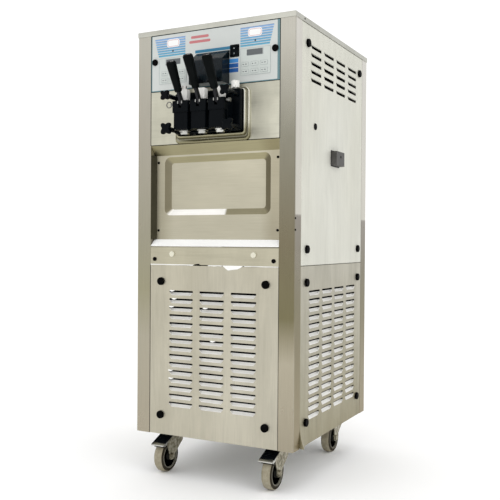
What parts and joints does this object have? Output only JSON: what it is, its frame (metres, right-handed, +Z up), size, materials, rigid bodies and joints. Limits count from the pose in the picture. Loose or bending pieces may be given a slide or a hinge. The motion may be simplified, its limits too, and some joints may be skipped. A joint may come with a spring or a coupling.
{
  "type": "soft serve ice cream machine",
  "caption": "Floor-standing soft ice cream machine: stainless louvred cabinet on castors, twin cylinders behind a dispensing head with pull handles, control panel, hoppers and leak drawer.",
  "frame": {"origin": "on the floor, under the middle of the cabinet", "axes": "+X to the viewer's right when facing the handles, +Y towards the rear, +Z up; handles face -Y"},
  "size_m": [0.566, 0.7877, 1.403],
  "materials": {
    "stainless_sheet": "fine vertical brush, slightly warm, fingerprints and rub marks",
    "stainless_bright": "smooth brushed, brighter pressed parts",
    "galvanised_frame": "dull galvanised",
    "panel_overlay": "printed overlay, satin",
    "keypad_film": "embossed membrane",
    "display_lens": "dark gloss window",
    "smoked_cover": "smoked translucent",
    "black_plastic": "moulded, fine grain",
    "handle_grip": "ribbed moulding, bright end",
    "white_plastic": "acetal, smooth",
    "beater_steel": "polished",
    "seal_rubber": "food grade seal",
    "drawer_plastic": "moulded",
    "motor_paint": "black enamel",
    "condenser_fins": "thin fins",
    "fan_plastic": "moulded",
    "copper_tube": "drawn copper",
    "box_paint": "grey powder coat",
    "zinc_plate": "zinc plated, dusty",
    "castor_tyre": "worn polyurethane tread on a dark hub",
    "pedal_black": "moulded cover, bright tip"
  },
  "bodies": {
    "cabinet": {"base_pan": "galvanised_frame", "caster_plates": "zinc_plate", "compressor": "motor_paint", "condenser": "condenser_fins", "control_panel": "panel_overlay", "cord_gland": "black_plastic", "corner_posts": "stainless_sheet", "dispensing_head": "black_plastic", "display_windows": "display_lens", "door_frame": "stainless_bright", "door_gaskets": "seal_rubber", "draw_nozzles": "stainless_bright", "drip_bar": "stainless_sheet", "electrical_box": "box_paint", "faceplate": "stainless_bright", "fan_motor": "motor_paint", "freezing_cylinders": "stainless_bright", "front_louvre_panel": "stainless_sheet", "gear_motors": "motor_paint", "handle_guard": "smoked_cover", "hoppers": "stainless_bright", "keypads": "keypad_film", "mid_shelf": "galvanised_frame", "panel_fasteners": "black_plastic", "pivot_pin": "stainless_bright", "rear_panels": "stainless_sheet", "refrigerant_pipes": "copper_tube", "roof_cover": "stainless_sheet", "shelf_buttons": "white_plastic", "side_panels_lower": "stainless_sheet", "side_panels_upper": "stainless_sheet", "splash_panel": "stainless_bright"},
    "handle_left": {"draw_handle_left": "handle_grip"},
    "piston_left": {"valve_piston_left": "white_plastic"},
    "handle_centre": {"draw_handle_centre": "handle_grip"},
    "piston_centre": {"valve_piston_centre": "white_plastic"},
    "handle_right": {"draw_handle_right": "handle_grip"},
    "piston_right": {"valve_piston_right": "white_plastic"},
    "prime_plug_left": {"prime_plug_left": "white_plastic"},
    "prime_plug_right": {"prime_plug_right": "white_plastic"},
    "hand_screw_upper_left": {"hand_screw_upper_left": "black_plastic"},
    "hand_screw_upper_right": {"hand_screw_upper_right": "black_plastic"},
    "hand_screw_lower_left": {"hand_screw_lower_left": "black_plastic"},
    "hand_screw_lower_right": {"hand_screw_lower_right": "black_plastic"},
    "rocker_switch": {"rocker_switch": "black_plastic"},
    "beater_left": {"beater_left": "beater_steel"},
    "beater_right": {"beater_right": "beater_steel"},
    "condenser_fan": {"condenser_fan": "fan_plastic"},
    "leak_drawer": {"leak_drawer": "drawer_plastic"},
    "hopper_lid": {"hopper_lid": "stainless_sheet"},
    "caster_front_left": {"caster_fork_front_left": "zinc_plate"},
    "wheel_front_left": {"caster_wheel_front_left": "castor_tyre"},
    "brake_pedal_left": {"brake_pedal_left": "pedal_black"},
    "caster_front_right": {"caster_fork_front_right": "zinc_plate"},
    "wheel_front_right": {"caster_wheel_front_right": "castor_tyre"},
    "brake_pedal_right": {"brake_pedal_right": "pedal_black"},
    "caster_rear_left": {"caster_fork_rear_left": "zinc_plate"},
    "wheel_rear_left": {"caster_wheel_rear_left": "castor_tyre"},
    "caster_rear_right": {"caster_fork_rear_right": "zinc_plate"},
    "wheel_rear_right": {"caster_wheel_rear_right": "castor_tyre"}
  },
  "joints": [
    {"name": "handle_left_pull", "type": "hinge", "parent": "cabinet", "child": "handle_left", "pos_m": [-0.0605, -0.385, 1.131], "axis": [1, 0, 0], "range_deg": [0, 50]},
    {"name": "piston_left_lift", "type": "slide", "parent": "cabinet", "child": "piston_left", "axis": [0, 0, 1], "range_m": [0, 0.0132]},
    {"name": "handle_centre_pull", "type": "hinge", "parent": "cabinet", "child": "handle_centre", "pos_m": [0, -0.385, 1.131], "axis": [1, 0, 0], "range_deg": [0, 50]},
    {"name": "piston_centre_lift", "type": "slide", "parent": "cabinet", "child": "piston_centre", "axis": [0, 0, 1], "range_m": [0, 0.0132]},
    {"name": "handle_right_pull", "type": "hinge", "parent": "cabinet", "child": "handle_right", "pos_m": [0.0605, -0.385, 1.131], "axis": [1, 0, 0], "range_deg": [0, 50]},
    {"name": "piston_right_lift", "type": "slide", "parent": "cabinet", "child": "piston_right", "axis": [0, 0, 1], "range_m": [0, 0.0132]},
    {"name": "prime_plug_left_lift", "type": "slide", "parent": "cabinet", "child": "prime_plug_left", "axis": [0, 0, 1], "range_m": [0, 0.02]},
    {"name": "prime_plug_right_lift", "type": "slide", "parent": "cabinet", "child": "prime_plug_right", "axis": [0, 0, 1], "range_m": [0, 0.02]},
    {"name": "hand_screw_upper_left_turn", "type": "hinge", "parent": "cabinet", "child": "hand_screw_upper_left", "pos_m": [-0.1, -0.422, 1.155], "axis": [0, -1, 0], "range_deg": [0, 1080]},
    {"name": "hand_screw_upper_right_turn", "type": "hinge", "parent": "cabinet", "child": "hand_screw_upper_right", "pos_m": [0.1, -0.422, 1.155], "axis": [0, -1, 0], "range_deg": [0, 1080]},
    {"name": "hand_screw_lower_left_turn", "type": "hinge", "parent": "cabinet", "child": "hand_screw_lower_left", "pos_m": [-0.103, -0.411, 1.059], "axis": [0, -1, 0], "range_deg": [0, 1080]},
    {"name": "hand_screw_lower_right_turn", "type": "hinge", "parent": "cabinet", "child": "hand_screw_lower_right", "pos_m": [0.103, -0.411, 1.059], "axis": [0, -1, 0], "range_deg": [0, 1080]},
    {"name": "rocker_switch_tilt", "type": "hinge", "parent": "cabinet", "child": "rocker_switch", "pos_m": [0.074, -0.308, 1.289], "axis": [1, 0, 0], "range_deg": [-12, 0]},
    {"name": "beater_left_spin", "type": "hinge", "parent": "cabinet", "child": "beater_left", "pos_m": [-0.058, -0.16, 1.102], "axis": [0, 1, 0], "continuous": true},
    {"name": "beater_right_spin", "type": "hinge", "parent": "cabinet", "child": "beater_right", "pos_m": [0.058, -0.16, 1.102], "axis": [0, 1, 0], "continuous": true},
    {"name": "condenser_fan_spin", "type": "hinge", "parent": "cabinet", "child": "condenser_fan", "pos_m": [0, 0.16, 0.387], "axis": [0, 1, 0], "continuous": true},
    {"name": "leak_drawer_pull", "type": "slide", "parent": "cabinet", "child": "leak_drawer", "axis": [1, 0, 0], "range_m": [0, 0.26]},
    {"name": "hopper_lid_lift", "type": "slide", "parent": "cabinet", "child": "hopper_lid", "axis": [0, 0, 1], "range_m": [0, 0.3]},
    {"name": "caster_front_left_swivel", "type": "hinge", "parent": "cabinet", "child": "caster_front_left", "pos_m": [-0.187, -0.23, 0.127], "axis": [0, 0, 1], "continuous": true},
    {"name": "wheel_front_left_spin", "type": "hinge", "parent": "caster_front_left", "child": "wheel_front_left", "pos_m": [-0.187, -0.268, 0.05], "axis": [1, 0, 0], "continuous": true},
    {"name": "brake_pedal_left_press", "type": "hinge", "parent": "caster_front_left", "child": "brake_pedal_left", "pos_m": [-0.187, -0.296, 0.0965], "axis": [1, 0, 0], "range_deg": [0, 8]},
    {"name": "caster_front_right_swivel", "type": "hinge", "parent": "cabinet", "child": "caster_front_right", "pos_m": [0.187, -0.23, 0.127], "axis": [0, 0, 1], "continuous": true},
    {"name": "wheel_front_right_spin", "type": "hinge", "parent": "caster_front_right", "child": "wheel_front_right", "pos_m": [0.187, -0.268, 0.05], "axis": [1, 0, 0], "continuous": true},
    {"name": "brake_pedal_right_press", "type": "hinge", "parent": "caster_front_right", "child": "brake_pedal_right", "pos_m": [0.187, -0.296, 0.0965], "axis": [1, 0, 0], "range_deg": [0, 8]},
    {"name": "caster_rear_left_swivel", "type": "hinge", "parent": "cabinet", "child": "caster_rear_left", "pos_m": [-0.187, 0.23, 0.127], "axis": [0, 0, 1], "continuous": true},
    {"name": "wheel_rear_left_spin", "type": "hinge", "parent": "caster_rear_left", "child": "wheel_rear_left", "pos_m": [-0.187, 0.192, 0.05], "axis": [1, 0, 0], "continuous": true},
    {"name": "caster_rear_right_swivel", "type": "hinge", "parent": "cabinet", "child": "caster_rear_right", "pos_m": [0.187, 0.23, 0.127], "axis": [0, 0, 1], "continuous": true},
    {"name": "wheel_rear_right_spin", "type": "hinge", "parent": "caster_rear_right", "child": "wheel_rear_right", "pos_m": [0.187, 0.192, 0.05], "axis": [1, 0, 0], "continuous": true}
  ],
  "couplings": [
    {"joint": "piston_left_lift", "follows": "handle_left_pull", "m_per_rad": 0.015},
    {"joint": "piston_centre_lift", "follows": "handle_centre_pull", "m_per_rad": 0.015},
    {"joint": "piston_right_lift", "follows": "handle_right_pull", "m_per_rad": 0.015}
  ]
}
